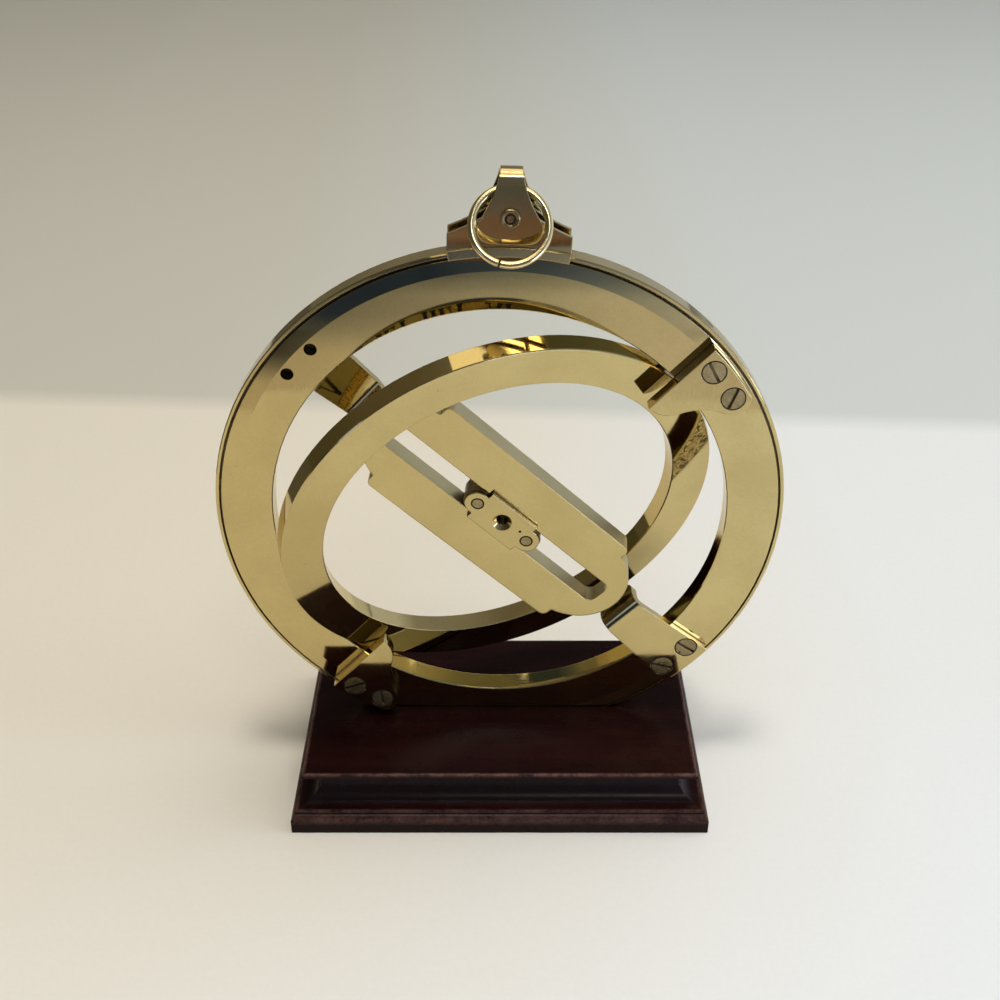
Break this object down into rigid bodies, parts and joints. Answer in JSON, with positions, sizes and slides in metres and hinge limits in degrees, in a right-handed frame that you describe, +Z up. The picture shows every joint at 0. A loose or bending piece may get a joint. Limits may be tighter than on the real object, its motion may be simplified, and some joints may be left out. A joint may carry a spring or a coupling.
{
  "type": "ring dial",
  "caption": "Universal equinoctial ring dial in polished brass: meridian ring, folding hour ring and slotted bridge with sliding sight, standing in a slotted mahogany plinth.",
  "frame": {"origin": "on the plinth's underside, straight below the middle of the rings", "axes": "+Z up, +X to the right seen from the front, -Y to the front; the meridian ring stands in the XZ plane"},
  "size_m": [0.1, 0.044, 0.1198],
  "materials": {
    "mahogany": "dark glossy polish",
    "polished_brass": "polished",
    "fitting_brass": "turned, slightly dull"
  },
  "bodies": {
    "stand": {"base": "mahogany"},
    "dial": {"meridian_ring": "polished_brass", "hour_pivot_pin_upper": "fitting_brass", "hour_pivot_pin_lower": "fitting_brass", "stop_bracket_upper": "polished_brass", "stop_bracket_lower": "polished_brass", "stop_screws_upper": "fitting_brass", "stop_screws_lower": "fitting_brass", "bridge_bracket_front": "polished_brass", "bridge_bracket_rear": "polished_brass", "bridge_screws_front": "fitting_brass", "bridge_screws_rear": "fitting_brass", "bridge_pivot_pin_front": "fitting_brass", "bridge_pivot_pin_rear": "fitting_brass"},
    "hour": {"hour_ring": "polished_brass"},
    "bridge": {"bridge": "polished_brass"},
    "cursor": {"cursor_front_plate": "polished_brass", "cursor_block": "fitting_brass", "cursor_back_plate": "polished_brass", "cursor_rivets": "fitting_brass"},
    "saddle": {"saddle": "polished_brass"},
    "shackle": {"shackle": "polished_brass", "shackle_pin": "fitting_brass"},
    "hanger": {"hanging_ring": "polished_brass"}
  },
  "joints": [
    {"name": "dial_lift", "type": "slide", "parent": "stand", "child": "dial", "axis": [0, 0, 1], "range_m": [0, 0.04]},
    {"name": "hour_fold", "type": "hinge", "parent": "dial", "child": "hour", "pos_m": [0, 0, 0.0571], "axis": [0.682, 0, 0.7314], "range_deg": [-24, 66]},
    {"name": "bridge_turn", "type": "hinge", "parent": "dial", "child": "bridge", "pos_m": [0, 0, 0.0571], "axis": [-0.7314, 0, 0.682], "continuous": true},
    {"name": "cursor_slide", "type": "slide", "parent": "bridge", "child": "cursor", "axis": [-0.7314, 0, 0.682], "range_m": [-0.0159, 0.0175]},
    {"name": "saddle_slide", "type": "hinge", "parent": "dial", "child": "saddle", "pos_m": [0, 0, 0.0571], "axis": [0, 1, 0], "range_deg": [-44, 36]},
    {"name": "shackle_swing", "type": "hinge", "parent": "saddle", "child": "shackle", "pos_m": [0.00165, 0, 0.11258], "axis": [0, 1, 0], "range_deg": [-15, 15]},
    {"name": "hanger_swing", "type": "hinge", "parent": "shackle", "child": "hanger", "pos_m": [0.00177, -0.0006, 0.11667], "axis": [-0.9996, 0, 0.0297], "range_deg": [0, 275]}
  ]
}
